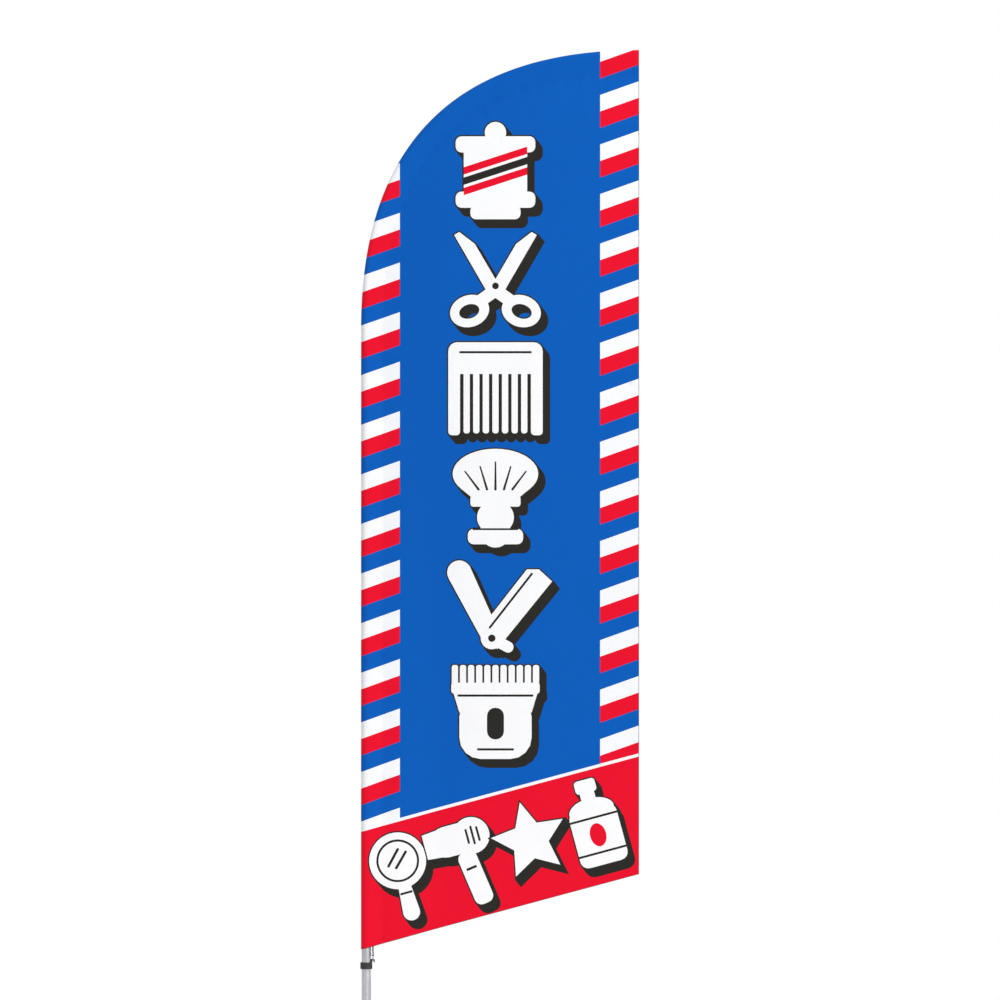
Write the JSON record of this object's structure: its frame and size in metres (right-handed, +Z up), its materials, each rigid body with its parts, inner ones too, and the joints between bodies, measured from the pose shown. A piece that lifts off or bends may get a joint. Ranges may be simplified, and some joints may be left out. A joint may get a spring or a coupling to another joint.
{
  "type": "feather flag with pole",
  "caption": "Printed feather flag sleeved over a sectional pole with a curved flexible tip, turning on a bearing spindle in a folding cross base.",
  "frame": {"origin": "on the floor, on the pole's axis, at the underside of the base's centre pad", "axes": "+Z up along the pole, +X from the pole into the flag, the printed face looks along -Y"},
  "size_m": [1.0566, 0.6348, 2.838],
  "materials": {
    "printed_cloth": "dye-printed knitted polyester, mostly blue with red and white, matte",
    "webbing": "black woven polyester webbing",
    "aluminium": "clear anodised, drawn tube",
    "fibreglass": "white pultruded glass fibre rod",
    "powder_coat": "black satin powder coat on steel",
    "steel": "zinc plated or bright steel",
    "chrome": "bright plated steel",
    "rubber": "black moulded rubber",
    "nylon": "black moulded nylon"
  },
  "bodies": {
    "stand": {"lower_cross_bar": "powder_coat", "lower_bar_foot_a": "rubber", "lower_bar_foot_b": "rubber", "centre_pad": "rubber", "centre_bolt": "steel", "bar_washer": "nylon", "hub": "powder_coat", "hub_cap": "powder_coat", "bearing_outer_race": "steel"},
    "folding_bar": {"upper_cross_bar": "powder_coat", "upper_bar_foot_a": "rubber", "upper_bar_foot_b": "rubber"},
    "cage": {"ball_cage": "steel"},
    "rotor": {"bearing_inner_race": "steel", "spindle": "chrome", "spindle_nut": "steel", "o_ring_lower": "rubber", "o_ring_upper": "rubber"},
    "pole": {"lower_tube": "aluminium", "middle_tube": "aluminium", "button_spring": "steel", "reducer_bush": "nylon", "upper_rod": "fibreglass", "rod_ferrule": "aluminium", "tip_rod": "fibreglass", "tip_cap": "rubber", "tip_pocket": "webbing", "pole_sleeve": "printed_cloth", "flag_panel": "printed_cloth", "webbing_tab": "webbing", "tab_ring": "chrome", "hook_collar": "nylon"},
    "button": {"snap_button": "steel"},
    "screw": {"collar_thumb_screw": "nylon"}
  },
  "joints": [
    {"name": "bar_fold", "type": "hinge", "parent": "stand", "child": "folding_bar", "pos_m": [0, 0, 0], "axis": [0, 0, 1], "range_deg": [-90, 90]},
    {"name": "swivel", "type": "hinge", "parent": "stand", "child": "rotor", "pos_m": [0, 0, 0], "axis": [0, 0, 1], "continuous": true},
    {"name": "cage_turn", "type": "hinge", "parent": "stand", "child": "cage", "pos_m": [0, 0, 0], "axis": [0, 0, 1], "continuous": true},
    {"name": "pole_lift", "type": "slide", "parent": "rotor", "child": "pole", "axis": [0, 0, 1], "range_m": [0, 0.2]},
    {"name": "button_press", "type": "slide", "parent": "pole", "child": "button", "axis": [-1, 0, 0], "range_m": [0, 0.0045], "stiffness_N_per_m": 2500, "springref_m": -0.002, "deforming": ["button_spring"]},
    {"name": "screw_turn", "type": "hinge", "parent": "pole", "child": "screw", "pos_m": [0, 0.0225, 0.3565], "axis": [0, 1, 0], "range_deg": [0, 720]}
  ],
  "couplings": [
    {"joint": "cage_turn", "follows": "swivel", "ratio": 0.3806}
  ]
}
